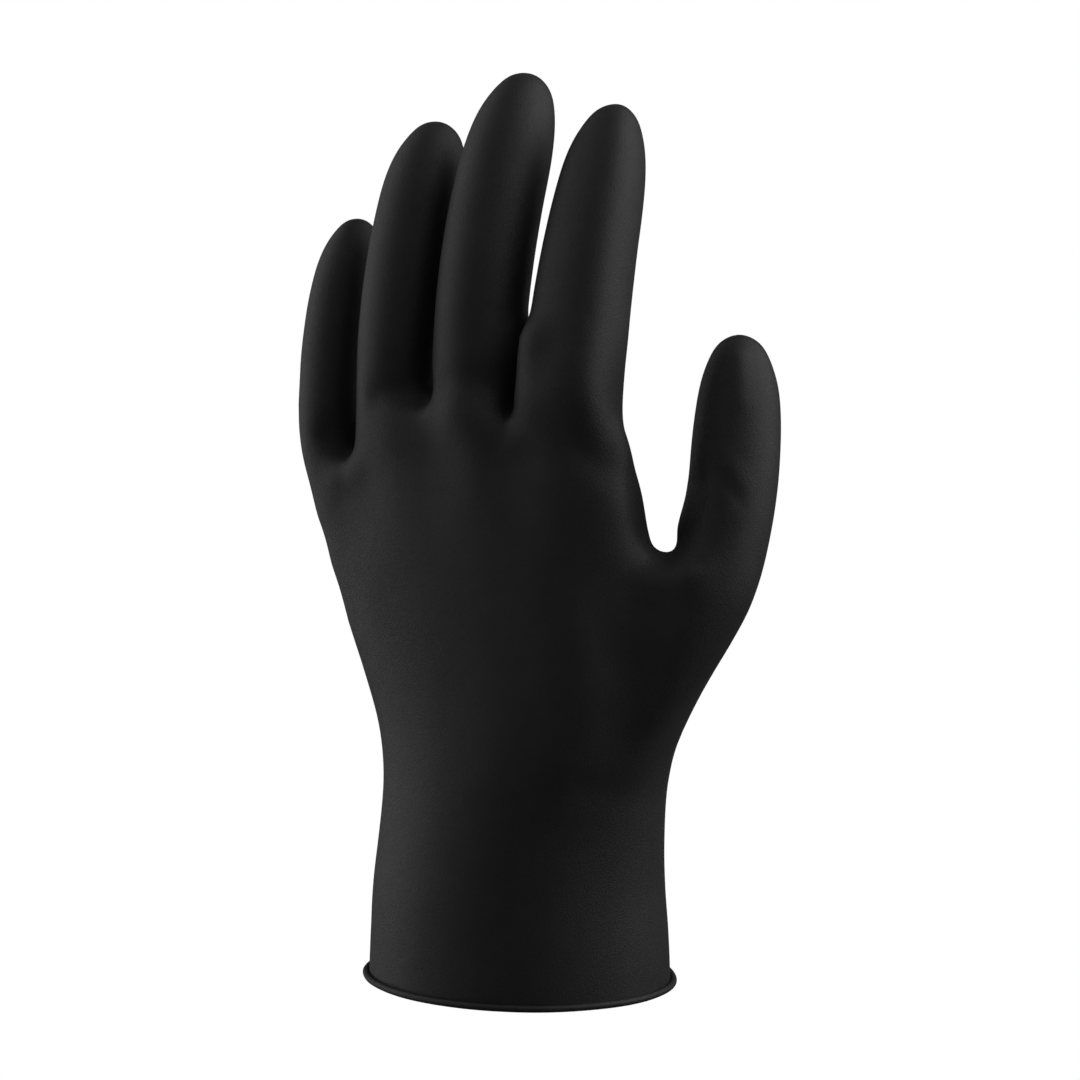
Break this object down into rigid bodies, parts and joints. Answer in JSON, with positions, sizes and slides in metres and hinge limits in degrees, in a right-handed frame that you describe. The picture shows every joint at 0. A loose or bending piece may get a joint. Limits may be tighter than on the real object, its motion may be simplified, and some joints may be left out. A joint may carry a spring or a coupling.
{
  "type": "nitrile exam glove",
  "caption": "Thin dipped rubber exam glove in a filled-out hand shape, with smooth finger stalls, a thumb stall and a short straight cuff that ends in a rolled bead.",
  "frame": {"origin": "centre of the cuff's opening, level with its rim, where the hand goes in", "axes": "+Z along the glove from the cuff to the fingertips, +X towards the thumb's side, -Y out of the back of the hand and +Y out of the palm"},
  "size_m": [0.1363, 0.0768, 0.2394],
  "materials": {
    "nitrile_film": "matte black nitrile rubber with a fine grain"
  },
  "bodies": {
    "root": {"glove_film": "nitrile_film"}
  },
  "joints": []
}
